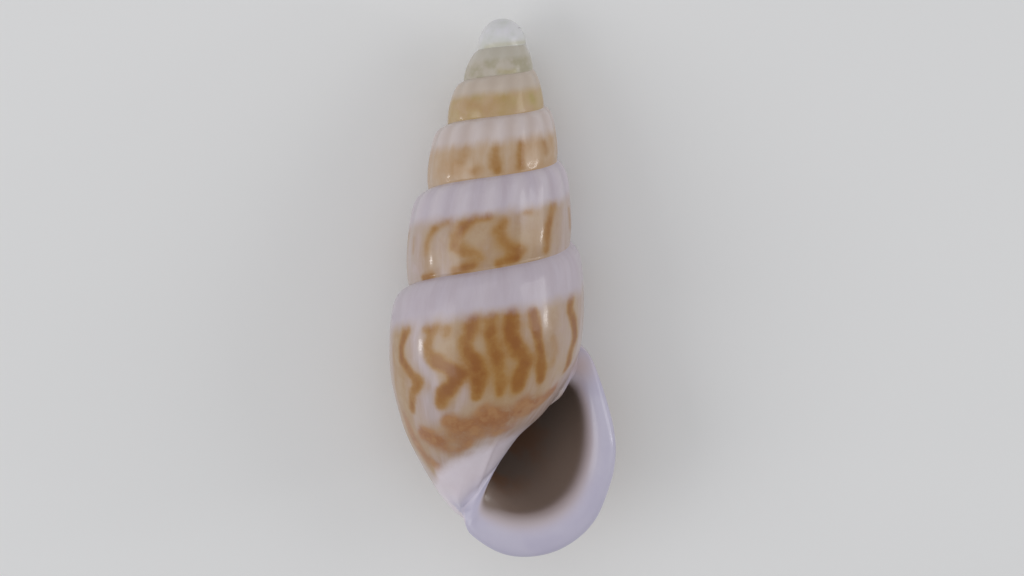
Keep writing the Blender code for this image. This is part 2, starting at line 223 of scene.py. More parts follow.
class Coil:
    """Points and faces of the shell, and for each corner of a face its place in the growth of the
    shell: theta, how far down the whorl (0 to 1, and on over the base to 2), and how far inside (0
    at the rim of the aperture, 1 where the bore begins)."""

    def __init__(self):
        self.points, self.faces, self.growth, self.sides = [], [], [], []

    def add(self, point):
        self.points.append(tuple(float(c) for c in point))
        return len(self.points) - 1

    def face(self, corners, growth):
        self.faces.append(tuple(corners[::-1]))
        self.growth.extend(growth[::-1])

    def outside(self):
        t = (np.arange(ROWS + 1) / ROWS) ** 1.6
        u = np.arange(BASE_ROWS + 1) / BASE_ROWS
        down = np.concatenate([t, 1 + u[1:]])
        columns = TURNS * COLUMNS
        grown = self.column(0.0, t, u)
        share = lengths(np.stack([grown[:, 0] - grown[:, 2], grown[:, 1]], -1))
        rim = along(spline(LIP), 0, len(LIP) - 1, share)
        flare = rim - np.stack([grown[:, 0] - grown[:, 2], grown[:, 1]], -1)
        tip = self.add((TIP[0], TIP[1], 0.0))
        ids, shared = {}, {}
        for j in range(columns + 1):
            theta = (j - columns) * tau / COLUMNS
            last = j >= columns - COLUMNS
            col = self.column(theta, t, u if last else None)
            if last:
                near = max(0.0, (np.exp(-(theta / LIP_SPREAD) ** 2) - 0.004) / 0.996)
                col[:, :2] += flare * near
            for i, (r, h, lean) in enumerate(col):
                if i == 0 and j in shared:
                    ids[j, i] = shared[j]
                elif j == 0 and i > 0:
                    ids[j, i] = ids[0, 0]
                    shared[COLUMNS] = ids[0, 0]
                elif i == ROWS + BASE_ROWS:
                    ids[j, i] = tip
                else:
                    turn = 0.0
                    if last and i > ROWS:
                        d = (i - ROWS) / BASE_ROWS
                        turn = CALLUS_TURN * smooth(d / 0.10) * (1 - smooth((d - 0.20) / 0.16))
                        turn += TIP_TURN * smooth((d - 0.66) / 0.18)
                        turn *= 1 - smooth((theta + tau) / 1.1)
                    ids[j, i] = self.add(place(theta + turn, r, h, lean))
                    if i == ROWS:
                        shared[j + COLUMNS] = ids[j, i]
        for j in range(columns):
            rows = ROWS + BASE_ROWS if j >= columns - COLUMNS else ROWS
            a, b = (j - columns) * tau / COLUMNS, (j + 1 - columns) * tau / COLUMNS
            for i in range(rows):
                corners = [ids[j, i], ids[j, i + 1], ids[j + 1, i + 1], ids[j + 1, i]]
                growth = [(a, down[i], 0), (a, down[i + 1], 0), (b, down[i + 1], 0), (b, down[i], 0)]
                kept = [k for k in range(4) if corners[k] not in corners[:k]]
                self.face([corners[k] for k in kept], [growth[k] for k in kept])
        ring = [ids[j, 0] for j in range(COLUMNS)]
        apex = self.add((0.0, APEX_HEIGHT, 0.0))
        start = -TURNS * tau
        for step in range(11, 0, -1):
            inner = [self.add(domed(self.points[k], step / (step + 1))) for k in ring]
            for corners in zip(ring, ring[1:] + ring[:1], inner[1:] + inner[:1], inner):
                self.face(corners, [(start, 0, 0)] * 4)
            ring = inner
        for a, b in zip(ring, ring[1:] + ring[:1]):
            self.face((apex, a, b), [(start, 0, 0)] * 3)
        outer = [ids[columns, i] for i in range(ROWS + BASE_ROWS)] + [tip]
        inner = [ids[columns - COLUMNS, i] for i in range(ROWS, ROWS + BASE_ROWS)] + [tip]
        return outer, inner, share, down

    def column(self, theta, t, u=None):
        r, h = whorl(theta, t)
        rows = np.stack([r, h, np.zeros_like(r)], -1)
        return rows if u is None else np.vstack([rows, base(theta, u)[1:]])

    def inside(self, outer, inner, share, down):
        loop = outer + inner[-2:0:-1]
        n_lip = len(outer)
        where = [(0.0, d) for d in down] + [(-tau, d) for d in down[:ROWS - 1:-1][1:-1]]
        edge = np.array([self.points[k] for k in loop])
        mouth = MOUTH_OUTER + MOUTH_INNER
        ring = spline(mouth[-3:] + mouth + mouth[:4])
        top, foot, end = 3, 3 + len(MOUTH_OUTER) - 1, 3 + len(mouth)
        lip_share = np.interp(share, [0, 0.1, 0.9, 1], [0, 0.07, 0.95, 1])
        side = np.array([self.points[k] for k in inner[::-1]])[:, :2]
        side_share = lengths(side)
        fine = np.linspace(0, 1, 400)
        curve = along(ring, foot, end, fine)
        gap = np.linalg.norm(side[:, None] - curve[None], axis=2)
        nearest = np.maximum.accumulate(fine[np.argmin(gap, axis=1)])
        nearest[0], nearest[-1] = 0.0, 1.0
        nearest = 0.86 * nearest + 0.14 * side_share
        for _ in range(max(1, BASE_ROWS // 6)):
            nearest[1:-1] = (nearest[:-2] + 2 * nearest[1:-1] + nearest[2:]) / 4
        inset = np.vstack([along(ring, top, foot, lip_share), along(ring, foot, end, nearest)[1:-1]])

        centre = inset.mean(0)
        angle = np.arctan2(inset[:, 1] - centre[1], inset[:, 0] - centre[0])
        ray = np.stack([np.cos(angle), np.sin(angle)], -1)
        major = np.array([sin(BORE_LEAN), cos(BORE_LEAN)])
        minor = np.array([major[1], -major[0]])
        size = 1 / np.sqrt((ray @ major / BORE_HALF[0]) ** 2 + (ray @ minor / BORE_HALF[1]) ** 2)
        oval = np.array(BORE_CENTRE) + ray * size[:, None]
        slow = 1.6 + 3.4 * smooth((0.80 - inset[:, 0]) / 0.6)
        (r_lip, h_lip), h_next = suture(0.0), suture(tau)[1]

        def bore(theta):
            blend = smooth(-theta / slow)[:, None]
            p = inset * (1 - blend) + oval * blend
            r, h = suture(theta)
            scale = (h - suture(theta + tau)[1]) / (h_lip - h_next)
            radius = p[:, 0] * r / r_lip
            return np.stack([radius * cos(theta), h + (p[:, 1] - h_lip) * scale, radius * sin(theta)], -1)

        d = 1 - side_share[1:-1]
        roll = np.concatenate([np.ones(n_lip), np.maximum(1 - smooth((d - 0.10) / 0.14),
                                                          1 - smooth((1 - d - 0.17) / 0.13))])
        rise = np.concatenate([
            CALLUS_RISE + (LIP_RISE - CALLUS_RISE) * smooth(share / 0.18) - 0.06 * smooth((share - 0.8) / 0.2),
            np.full(len(loop) - n_lip, CALLUS_RISE)])
        crest = edge.copy()
        crest[:, :2] += LIP_CREST * (inset - edge[:, :2])
        deep = bore(BORE_START)
        up, into = LIP_LOOPS
        loops, depth = [loop], [0.0]
        for q in range(1, up + into + 1):
            if q <= up:
                b = q / up * pi / 2
                lip = edge + (crest - edge) * (1 - cos(b))
                lip[:, 2] = edge[:, 2] + (rise - edge[:, 2]) * sin(b)
            else:
                b = (q - up) / into * pi / 2
                lip = crest + (deep - crest) * sin(b)
                lip[:, 2] = deep[:, 2] + (rise - deep[:, 2]) * cos(b)
            x = q / (up + into)
            wall = edge.copy()
            wall[:, :2] += (inset - edge[:, :2]) * sin(min(x / 0.8, 1) * pi / 2) + (deep[:, :2] - inset) * x**3
            wall[:, 2] = edge[:, 2] + (deep[:, 2] - edge[:, 2]) * x * x
            points = lip * roll[:, None] + wall * (1 - roll)[:, None]
            loops.append([self.add(p) for p in points])
            depth.append(x)
        theta = BORE_START
        while theta > BORE_START - BORE_TURNS * tau:
            theta -= min(0.06 + 0.10 * (BORE_START - theta), tau / BORE_STEPS)
            loops.append([self.add(p) for p in bore(theta)])
            depth.append(1 - (theta - BORE_START))
        soft = np.array([[self.points[k] for k in q] for q in loops[up:up + into + 16]])
        for _ in range(60):
            soft[into - 6:-1] += 0.5 * ((soft[into - 7:-2] + soft[into - 5:]) / 2 - soft[into - 6:-1])
        for q, row in zip(loops[up:up + into + 16], soft):
            for k, p in zip(q, row):
                self.points[k] = tuple(float(c) for c in p)
        for a, b, x, y in zip(loops, loops[1:], depth, depth[1:]):
            for k in range(len(loop)):
                n = (k + 1) % len(loop)
                wk, wn = where[k], where[n]
                if n == 0:
                    wn = (-tau, 1.0)
                self.face((a[k], a[n], b[n], b[k]), [wk + (x,), wn + (x,), wn + (y,), wk + (y,)])
                self.sides.extend([roll[k], roll[n], roll[n], roll[k]][::-1])
        blind = self.add(np.mean([self.points[k] for k in loops[-1]], axis=0))
        for k in range(len(loop)):
            self.face((loops[-1][k], loops[-1][(k + 1) % len(loop)], blind),
                      [where[k] + (depth[-1],)] * 3)
            self.sides.extend([roll[k]] * 3)
        self.rim, self.lip_count, self.side_share = edge, n_lip, side_share[1:-1]


pose = Matrix.Translation(Vector((-REST_CENTRE[0], -REST_CENTRE[1], REST_HEIGHT)) * MM) \
    @ Euler((radians(REST_PITCH), 0, 0)).to_matrix().to_4x4()
turned = np.array(pose.to_3x3())
shifted = np.array(pose.translation)

coil = Coil()
coil.inside(*coil.outside())
points = np.array(coil.points)
for centre, reach, times in (((TIP[0], TIP[1], 0.0), 0.34, 60), ((-0.10, -2.32, 0.04), 0.34, 220),
                             ((0.0, APEX_HEIGHT, 0.0), 0.16, 12)):
    points = relaxed(points, coil.faces, 1 - smooth(np.linalg.norm(points - centre, axis=1) / reach), times)

# beside the columella the inner lip runs into the base without a crease
crease = np.array(coil.rim)[coil.lip_count:]
crease = crease[(coil.side_share > 0.02) & (coil.side_share < 0.46)]
low_front = np.nonzero((points[:, 1] < -1.3) & (points[:, 2] > -0.5))[0]
close = np.linalg.norm(points[low_front][:, None] - crease[None], axis=2).min(axis=1)
weight = np.zeros(len(points))
weight[low_front] = 1 - smooth((close - 0.05) / 0.14)
points = relaxed(points, coil.faces, weight, 60)
weight[low_front] = (1 - smooth((close - 0.16) / 0.10)) * (points[low_front, 2] > -0.12)
points = relaxed(points, coil.faces, weight, 300, np.array([0.42, 0.0, 0.91]))
weight[low_front] = 1 - smooth((close - 0.08) / 0.14)
points = relaxed(points, coil.faces, weight, 12)
world = points * MM @ turned.T + shifted
world[:, 2] = np.maximum(world[:, 2], 0.0)

growth = np.array(coil.growth)
theta, down, deep = growth.T

# ---------------------------------------------------------------- camera, at the photograph's angle

SCALE = 67.08            # pixels of the photograph in a millimetre of the shell
VIEW_TILT, VIEW_ROLL = radians(3.7), radians(2.5)
VIEW_CENTRE = (0.297, 0.839, 0.0)
LENS, SENSOR = 120.0, 36.0

look = np.array([0.0, sin(VIEW_TILT), cos(VIEW_TILT)])
right = np.array([cos(VIEW_ROLL), sin(VIEW_ROLL) * cos(VIEW_TILT), -sin(VIEW_ROLL) * sin(VIEW_TILT)])
up = np.array([-sin(VIEW_ROLL), cos(VIEW_ROLL) * cos(VIEW_TILT), -cos(VIEW_ROLL) * sin(VIEW_TILT)])
distance = 1024 / SCALE * LENS / SENSOR * MM
middle = turned @ (np.array(VIEW_CENTRE) * MM) + shifted
axes = np.stack([turned @ right, turned @ up, turned @ look], -1)
camera_data = bpy.data.cameras.new("camera")
camera_data.lens, camera_data.sensor_width = LENS, SENSOR
camera_data.clip_start, camera_data.clip_end = 0.001, 2.0
camera = bpy.data.objects.new("camera", camera_data)
bpy.context.scene.collection.objects.link(camera)
eye = middle + axes[:, 2] * distance
camera.matrix_world = Matrix.Translation(Vector(eye)) @ Matrix(axes.tolist()).to_4x4()
bpy.context.scene.camera = camera

# ---------------------------------------------------------------- markings, laid out along the growth

corner_vertex = np.concatenate([np.array(f) for f in coil.faces])
first_corner = np.concatenate([[0], np.cumsum([len(f) for f in coil.faces])])
tree = BVHTree.FromPolygons([Vector(p) for p in world], coil.faces)


def profile_length(a):
    """Length in mm from suture to suture, and from the waist over the base to the tip."""
    r, h = whorl(a, np.linspace(0, 1, 30))
    whole = np.hypot(np.diff(r), np.diff(h)).sum()
    b = base(max(-tau, min(0.0, a)), np.linspace(0, 1, 30))
    return whole, np.linalg.norm(np.diff(b, axis=0), axis=1).sum()


LENGTHS = np.array([profile_length(-k * pi / 4) for k in range(TURNS * 8 + 1)])


def run_down(a, d):
    """Distance in mm below the suture."""
    u = np.clip(-np.asarray(a) / (pi / 4), 0, TURNS * 8)
    whole = np.interp(u, np.arange(len(LENGTHS)), LENGTHS[:, 0])
    over = np.interp(u, np.arange(len(LENGTHS)), LENGTHS[:, 1])
    return np.minimum(d, 1) * whole + np.maximum(d - 1, 0) * over


def seen(x, y):
    """The growth of the surface behind a pixel of the photograph: theta, down, radius in mm."""
    ray = axes @ np.array([(x - 512) / 1024 * SENSOR, (288 - y) / 1024 * SENSOR, -LENS])
    hit, _, face, _ = tree.ray_cast(Vector(eye), Vector(ray))
    if face is None:
        return None
    corners = coil.faces[face]
    weights = np.array(poly_3d_calc([Vector(world[c]) for c in corners], hit))
    g = growth[first_corner[face]:first_corner[face] + len(corners)]
    own = points[list(corners)]
    return tuple(weights @ g[:, :2]) + (float(weights @ np.hypot(own[:, 0], own[:, 2])),)


def landing(x, y):
    """Where in the shell's own frame, in mm, the surface lies behind a pixel of the photograph."""
    ray = axes @ np.array([(x - 512) / 1024 * SENSOR, (288 - y) / 1024 * SENSOR, -LENS])
    hit = tree.ray_cast(Vector(eye), Vector(ray))[0]
    return (np.array(hit) - shifted) @ turned / MM


outer = deep == 0
low_run = run_down(theta, down)
corner_points = points[corner_vertex]

# distance from each point of the outside to the rim of the aperture, and where on the rim that is
rim = np.array(coil.rim)
rim_place = np.concatenate([np.full(coil.lip_count, -1.0), coil.side_share])
outside = np.zeros(len(points), bool)
outside[corner_vertex[outer]] = True
by_rim = np.nonzero(outside & (points[:, 1] < 0.2))[0]
apart = np.linalg.norm(points[by_rim][:, None] - rim[None], axis=2)
rim_gap, rim_at = np.full(len(points), 9.0), np.full(len(points), -1.0)
rim_gap[by_rim], rim_at[by_rim] = apart.min(axis=1), rim_place[apart.argmin(axis=1)]

# ---------------------------------------------------------------- the mesh

mesh = bpy.data.meshes.new("rissoinid_shell")
mesh.from_pydata([tuple(p) for p in world], [], coil.faces)
normals = np.array([v.normal for v in mesh.vertices])
lift = np.zeros(len(points))

# the columella: a low fold that runs down to the tip
fold = [landing(x, y) for x, y in ((494, 444), (488, 458), (483, 470), (479, 482), (475, 493), (468, 502), (460, 510))]
near_fold = np.nonzero((points[:, 1] < -1.3) & (points[:, 2] > -0.5))[0]
apart = np.full(len(near_fold), 9.0)
for a, b in zip(fold, fold[1:]):
    f = np.clip((points[near_fold] - a) @ (b - a) / ((b - a) @ (b - a)), 0, 1)[:, None]
    apart = np.minimum(apart, np.linalg.norm(points[near_fold] - a - f * (b - a), axis=1))
lift[near_fold] += 0.020 * np.exp(-(apart / 0.055) ** 2)

# the rough edge of the callus on the body whorl
rough_edge = (rim_at >= 0) * smooth((rim_at - 0.45) / 0.10) * np.exp(-((rim_gap - 0.02) / 0.035) ** 2)
crumb = np.array([noise.noise(Vector(q) * 14) for q in points[rough_edge > 0.02]])
lift[rough_edge > 0.02] += 0.016 * rough_edge[rough_edge > 0.02] * (0.5 + crumb)

# the whorls are never quite even
uneven = np.array([noise.noise(Vector(q) * 1.7) + 0.5 * noise.noise(Vector(q) * 4.1) for q in points])
lift += 0.007 * uneven * outside

# grains and nubs that have grown into the shell
for x, y, size, height in ((393.5, 317, 0.030, 0.030), (581, 350, 0.028, 0.020), (535, 331, 0.05, 0.006), (556, 306, 0.04, 0.006),
                           (554, 330, 0.05, 0.008), (560, 316, 0.04, 0.008), (436, 349, 0.06, 0.008)):
    lift += height * outside * np.exp(-(np.linalg.norm(points - landing(x, y), axis=1) / size) ** 2)

world = world + normals * (lift * MM)[:, None]
world[:, 2] = np.maximum(world[:, 2], 0.0)
mesh.vertices.foreach_set("co", world.astype(np.float32).ravel())
mesh.shade_smooth()
shell = bpy.data.objects.new("rissoinid_shell", mesh)
bpy.context.scene.collection.objects.link(shell)

# ---------------------------------------------------------------- markings


def paint(mask, path, strength, soft):
    """Draws one streak on the mask. The path is (theta, down, radius, half-width), in mm where it is a
    length."""
    path = np.array(path, float)
    runs = run_down(path[:, 0], path[:, 1])
    near = np.nonzero(outer & (theta > path[:, 0].min() - 0.6) & (theta < path[:, 0].max() + 0.6))[0]
    best = np.full(len(near), 99.0)
    for (a, _, r, w), ra, (b, _, s, v), rb in zip(path, runs, path[1:], runs[1:]):
        m = (r + s) / 2
        x, y = (theta[near] - a) * m, low_run[near] - ra
        dx, dy = (b - a) * m, rb - ra
        f = np.clip((x * dx + y * dy) / (dx * dx + dy * dy + 1e-12), 0, 1)
        gap = np.hypot(x - f * dx, y - f * dy) / (w + (v - w) * f + soft)
        best = np.minimum(best, gap)
    drawn = strength * np.exp(-0.69 * best ** 2)
    mask[near] = mask[near] + drawn - mask[near] * drawn


# Markings of the side that the photograph shows: strength, then x, y and half-width in its pixels
FLAMES = [
    (0.80, (406, 331, 5), (401, 346, 3), (401, 359, 3.5), (410, 373, 4), (419, 382, 5), (413, 393, 4.5), (412, 408, 3.5)),
    (0.40, (393, 346, 1.5), (395, 372, 2), (398, 400, 2)),
    (0.60, (425, 329, 3), (436, 327, 4), (447, 329, 4.5), (446, 334, 3.5)),
    (0.70, (431, 332, 4), (427, 346, 4.5), (429, 356, 5), (438, 362, 5)),
    (0.95, (438, 362, 5), (449, 368, 6), (459, 375, 6.5), (452, 385, 6), (443, 395, 7), (442, 402, 5.5)),
    (1.00, (472, 321, 6), (470, 331, 5.5), (465, 343, 5), (467, 354, 5), (477, 363, 5.5), (481, 373, 6), (478, 386, 5.5), (477, 394, 4)),
    (0.80, (491, 318, 4.5), (490, 332, 4.5), (493, 346, 4.5), (498, 359, 5), (500, 372, 5.5), (500, 385, 4.5), (500, 393, 3)),
    (1.00, (511, 314, 6), (512, 325, 6.5), (512, 339, 6.5), (518, 350, 6.5), (526, 360, 6.5), (522, 370, 6), (519, 380, 6.5), (518, 387, 5)),
    (0.90, (533, 311, 4), (535, 322, 4.5), (538, 336, 3), (541, 353, 3), (541, 367, 4), (541, 379, 3.5)),
    (0.40, (553, 338, 3), (556, 350, 4), (553, 364, 3)),
    (0.90, (571, 298, 4), (570, 310, 3.5), (574, 322, 4), (575, 337, 3.5), (570, 354, 3), (567, 367, 3)),
    # the whorl before the last
    (0.50, (450, 220, 4), (443, 222, 4.5), (435, 228, 3.5)),
    (0.45, (432, 232, 3), (427, 243, 5), (426, 252, 5)),
    (0.35, (414, 238, 2), (413, 252, 2)),
    (0.68, (488, 216, 3.5), (475, 218, 4.5), (464, 226, 5.5), (456, 236, 6), (456, 245, 6), (466, 252, 6), (478, 257, 5.5), (476, 263, 4), (467, 267, 5), (455, 271, 4)),
    (0.62, (504, 222, 4.5), (498, 231, 6), (503, 242, 6.5), (512, 248, 6), (522, 250, 5)),
    (0.80, (500, 263, 4), (506, 261, 4), (516, 258, 2.5)),
    (0.55, (525, 212, 3), (530, 211, 3.5)),
    (0.60, (553, 205, 4.5), (550, 218, 4.5), (547, 230, 5.5), (547, 244, 5), (546, 250, 4)),
    (0.45, (569, 210, 2.5), (570, 228, 2.5)),
    (0.65, (424, 278, 3), (432, 275, 3)),
    # the one before that
    (0.55, (498, 144, 3.5), (494, 155, 5), (495, 165, 6), (498, 171, 4)),
    (0.58, (522, 143, 4), (521, 155, 5), (521, 165, 4.5)),
    (0.40, (466, 148, 5), (460, 162, 7), (454, 172, 6)),
    (0.35, (472, 172, 4), (477, 170, 4)),
    (0.45, (544, 142, 4), (547, 152, 4.5)),
    # and the fourth
    (0.28, (470, 104, 6), (486, 111, 7), (497, 101, 6), (505, 96, 5)),
    (0.22, (514, 106, 6), (524, 98, 5)),
]
RUST = [
    (0.90, (448, 421, 5), (464, 427, 6), (480, 421, 6), (492, 417, 7), (508, 416, 7), (526, 408, 6), (540, 401, 5), (554, 389, 3)),
    (0.95, (422, 433, 4), (431, 438, 6), (441, 443, 5)),
    (0.60, (455, 436, 5), (468, 440, 7), (480, 434, 6)),
    (0.55, (448, 450, 4), (456, 452, 5), (466, 446, 4)),
    (0.70, (484, 410, 4), (489, 418, 5), (498, 431, 6), (508, 428, 5)),
    (0.60, (524, 400, 4), (530, 410, 4)),
    (0.70, (408, 424, 4), (416, 442, 5), (427, 458, 4), (438, 467, 5)),
    (0.45, (403, 410, 2), (409, 430, 3), (419, 450, 3), (429, 466, 3)),
    (0.30, (396, 366, 2), (398, 390, 2), (402, 412, 2)),
]
WASH = [
    (0.95, (484, 318, 18), (498, 345, 26), (504, 372, 26), (502, 390, 20)),
    (0.60, (436, 336, 10), (446, 370, 14), (446, 396, 10)),
    (1.00, (398, 335, 9), (399, 370, 11), (403, 405, 11), (412, 440, 12), (430, 465, 9)),
    (0.60, (455, 335, 6), (454, 350, 7)),
    (0.55, (553, 312, 8), (551, 345, 12), (546, 372, 11)),
    (0.75, (458, 428, 12), (482, 424, 14), (508, 418, 14), (540, 398, 10)),
    (0.60, (428, 440, 10), (456, 446, 12)),
    (0.60, (572, 300, 6), (575, 335, 7), (566, 365, 8)),
    (0.75, (472, 222, 12), (466, 245, 20), (472, 264, 14)),
    (0.70, (500, 228, 16), (508, 248, 20)),
    (0.60, (550, 212, 12), (548, 245, 14)),
    (0.45, (532, 216, 8), (530, 235, 9), (528, 258, 9)),
    (0.55, (428, 235, 7), (426, 250, 7), (430, 275, 8)),
]
# lighter gaps between the streaks; the first runs where the left lamp's highlight lies on the body whorl, so it is
# partly a painted highlight
PALE_GAPS_AND_HIGHLIGHT = [
    (0.75, (420, 322, 5), (416, 340, 5), (417, 358, 4), (430, 374, 5), (436, 388, 4), (428, 402, 7), (432, 416, 7)),
    (0.10, (455, 334, 4.5), (454, 346, 5), (460, 354, 3)),
    (0.40, (466, 386, 3), (464, 398, 6), (456, 409, 6), (444, 413, 6)),
    (0.20, (527, 322, 3), (529, 336, 3.5), (533, 352, 3), (532, 372, 3), (530, 390, 5)),
    (0.15, (478, 230, 5), (488, 240, 7), (490, 256, 6)),
    (0.15, (438, 240, 5), (446, 256, 5), (440, 266, 5)),
]
OLIVE = [
    (0.55, (486, 48, 1.5), (494, 45.5, 2), (503, 44.5, 1.5)),
    (0.60, (508, 44, 1.5), (518, 43, 1.5), (525, 42, 1)),
    (0.45, (500, 71, 1.5), (507, 72, 1.5), (514, 71, 1)),
    (0.80, (531, 96, 2.5), (533, 100, 3)),
    (0.35, (476, 95, 4), (480, 97, 4)),
    (0.30, (504, 98, 4), (510, 102, 4)),
]


def painted(markings, soft):
    mask = np.zeros(len(theta))
    for strength, *path in markings:
        found = [(seen(x, y), w / SCALE) for x, y, w in path]
        found = [hit + (w,) for hit, w in found if hit]
        if len(found) > 1:
            paint(mask, found, strength, soft)
    return mask


streak, rust, wash, pale = painted(FLAMES, 0.030), painted(RUST, 0.045), painted(WASH, 0.08), painted(PALE_GAPS_AND_HIGHLIGHT, 0.02)
olive = painted(OLIVE, 0.015)

# The side that the photograph hides goes on in the same way
chance = np.random.default_rng(11)
for whorls_up, low, high, gap, wide, bend in ((0, -3.02, -0.18, 0.33, 0.072, 0.12),
                                              (1, -3.05, -0.10, 0.42, 0.070, 0.12),
                                              (2, -3.05, -0.10, 0.48, 0.055, 0.04)):
    a = low
    while a < high:
        turn = a - whorls_up * tau
        r = float(whorl(turn, 0.4)[0])
        way = bend * chance.uniform(0.6, 1.3) * (1 if chance.random() < 0.8 else -1)
        start, end = chance.uniform(0.27, 0.34), chance.uniform(0.78, 0.93)
        width = wide * chance.uniform(0.65, 1.15)
        steps = ((0, 0.1), (0.33, 1.0), (0.55, -0.4), (0.75, -0.9), (1.0, 0.2))
        path = [(turn + way * k / r * chance.uniform(0.8, 1.2), start + (end - start) * f, r, width * chance.uniform(0.8, 1.15))
                for f, k in steps]
        power = chance.uniform(0.65, 1.0) * (0.7 if whorls_up == 2 else 1)
        paint(streak, path, power, 0.030)
        if whorls_up < 2:
            paint(wash, [(q, d, m, w * 2.2) for q, d, m, w in path], 0.7 * power, 0.08)
        a += gap * chance.uniform(0.8, 1.25)
    if whorls_up == 0:
        a = low
        while a < high - 0.1:
            d = 1.06 + 0.10 * chance.random()
            r = float(base(a, np.array([d - 1.0]))[0, 0])
            blotch = [(a, d, r, 0.08), (a + 0.16, d + chance.uniform(-0.03, 0.05), r, 0.12),
                      (a + 0.32, d + chance.uniform(-0.03, 0.05), r, 0.09)]
            paint(rust, blotch, chance.uniform(0.6, 0.95), 0.045)
            low = [(q, k + chance.uniform(0.16, 0.24), m, w) for q, k, m, w in blotch]
            paint(rust, low, chance.uniform(0.2, 0.8), 0.045)
            a += chance.uniform(0.26, 0.44)


def attribute(name, values):
    layer = mesh.attributes.new(name, "FLOAT", "CORNER")
    layer.data.foreach_set("value", np.asarray(values, np.float32))


# enamel laid over the outside near the aperture: narrow by the outer lip and on the body whorl, wide
# over the columella
at = rim_at[corner_vertex]
columella = (at >= 0) * smooth((0.48 - at) / 0.14)
reach = 0.050 + 0.16 * columella
glaze = np.exp(-(rim_gap[corner_vertex] / reach) ** 2) * outer
parietal = (at >= 0) * (1 - columella) * glaze
top = np.exp(-(np.linalg.norm(corner_points - landing(577, 366), axis=1) / 0.24) ** 2)

# how far into the bore's painted shade: slowly over the rolled lip, at once behind the inner lip, and further out
# beside the tip
sides = np.concatenate([np.ones(len(theta) - len(coil.sides)), coil.sides])
hollow = smooth((deep - 0.30) / 0.62) * sides + smooth((deep - 0.38) / 0.40) * (1 - sides)
beside_tip = np.exp(-(np.linalg.norm(corner_points - landing(480, 500), axis=1) / 0.22) ** 2)
hollow = np.minimum(1, hollow + 0.28 * beside_tip * smooth((deep - 0.25) / 0.4))

# where a darker mottled brown is laid on the parietal wall inside the aperture
inner_parietal = (1 - sides) * (deep > 0) * smooth((corner_points[:, 1] + 1.75) / 0.35)

# which of the enamel is the outer lip's, and which is the columella ramp that gets painted light: made whiter because
# it faces away from the lamps
from_tip = smooth(np.linalg.norm(corner_points - np.array([TIP[0], TIP[1], 0.0]), axis=1) / 0.42 - 0.15)
lip_side = np.where(outer, at < 0, theta > -1.0) * from_tip
inner_side = from_tip * np.where(outer, columella * np.exp(-(rim_gap[corner_vertex] / 0.16) ** 2),
                                 (theta <= -1.0) * smooth((-1.45 - corner_points[:, 1]) / 0.3) * (1 - smooth(deep / 0.22)))

attribute("turn", theta / tau)
attribute("crust", inner_parietal)
attribute("lip_side", lip_side)
attribute("inner_side", inner_side)
attribute("hollow", hollow)
attribute("down", down)
attribute("deep", deep)
attribute("streak", streak)
attribute("glaze", glaze)
attribute("parietal", parietal)
attribute("top", top)
attribute("rust", rust)
attribute("wash", wash)
attribute("pale", pale)
attribute("olive", olive)
# rib crests, where the band is made whiter: partly the ribs' own colour, partly painted highlight
attribute("rib", rib_wave(theta, np.minimum(down, 1)) * (0.25 + 0.75 * smooth((-theta / pi - 1.6) / 1.2))
          * (1 - 0.7 * smooth((-theta / pi - 6.5) / 3)))


class Shader:
    """Short ways to wire a material."""

    def __init__(self, name):
        self.material = bpy.data.materials.new(name)
        self.material.use_nodes = True
        self.tree = self.material.node_tree
        self.main = self.tree.nodes["Principled BSDF"]

    def add(self, kind, inputs=(), **settings):
        node = self.tree.nodes.new(kind)
        for key, value in settings.items():
            setattr(node, key, value)
        for key, value in dict(inputs).items():
            self.put(node.inputs[key], value)
        return node

    def put(self, socket, value):
        if isinstance(value, bpy.types.NodeSocket):
            self.tree.links.new(value, socket)
        elif isinstance(value, tuple) and len(value) == 3 and len(socket.default_value) == 4:
            socket.default_value = value + (1.0,)
        else:
            socket.default_value = value

    def get(self, name):
        return self.add("ShaderNodeAttribute", attribute_name=name).outputs["Fac"]

    def math(self, operation, a, b=0.0, c=0.0):
        return self.add("ShaderNodeMath", {0: a, 1: b, 2: c}, operation=operation).outputs[0]

    def step(self, x, low, high, to_low=0.0, to_high=1.0):
        return self.add("ShaderNodeMapRange", {"Value": x, "From Min": low, "From Max": high, "To Min": to_low,
                                               "To Max": to_high}, interpolation_type="SMOOTHSTEP").outputs["Result"]

    def mix(self, share, a, b):
        node = self.add("ShaderNodeMix", data_type="RGBA")
        self.put(node.inputs[0], share)
        self.put(node.inputs[6], a)
        self.put(node.inputs[7], b)
        return node.outputs[2]

    def noise(self, vector, scale, detail=2.0, rough=0.5):
        return self.add("ShaderNodeTexNoise", {"Vector": vector, "Scale": scale, "Detail": detail,
                                               "Roughness": rough}).outputs["Fac"]

    def vector(self, x, y, z=0.0):
        return self.add("ShaderNodeCombineXYZ", {0: x, 1: y, 2: z}).outputs[0]


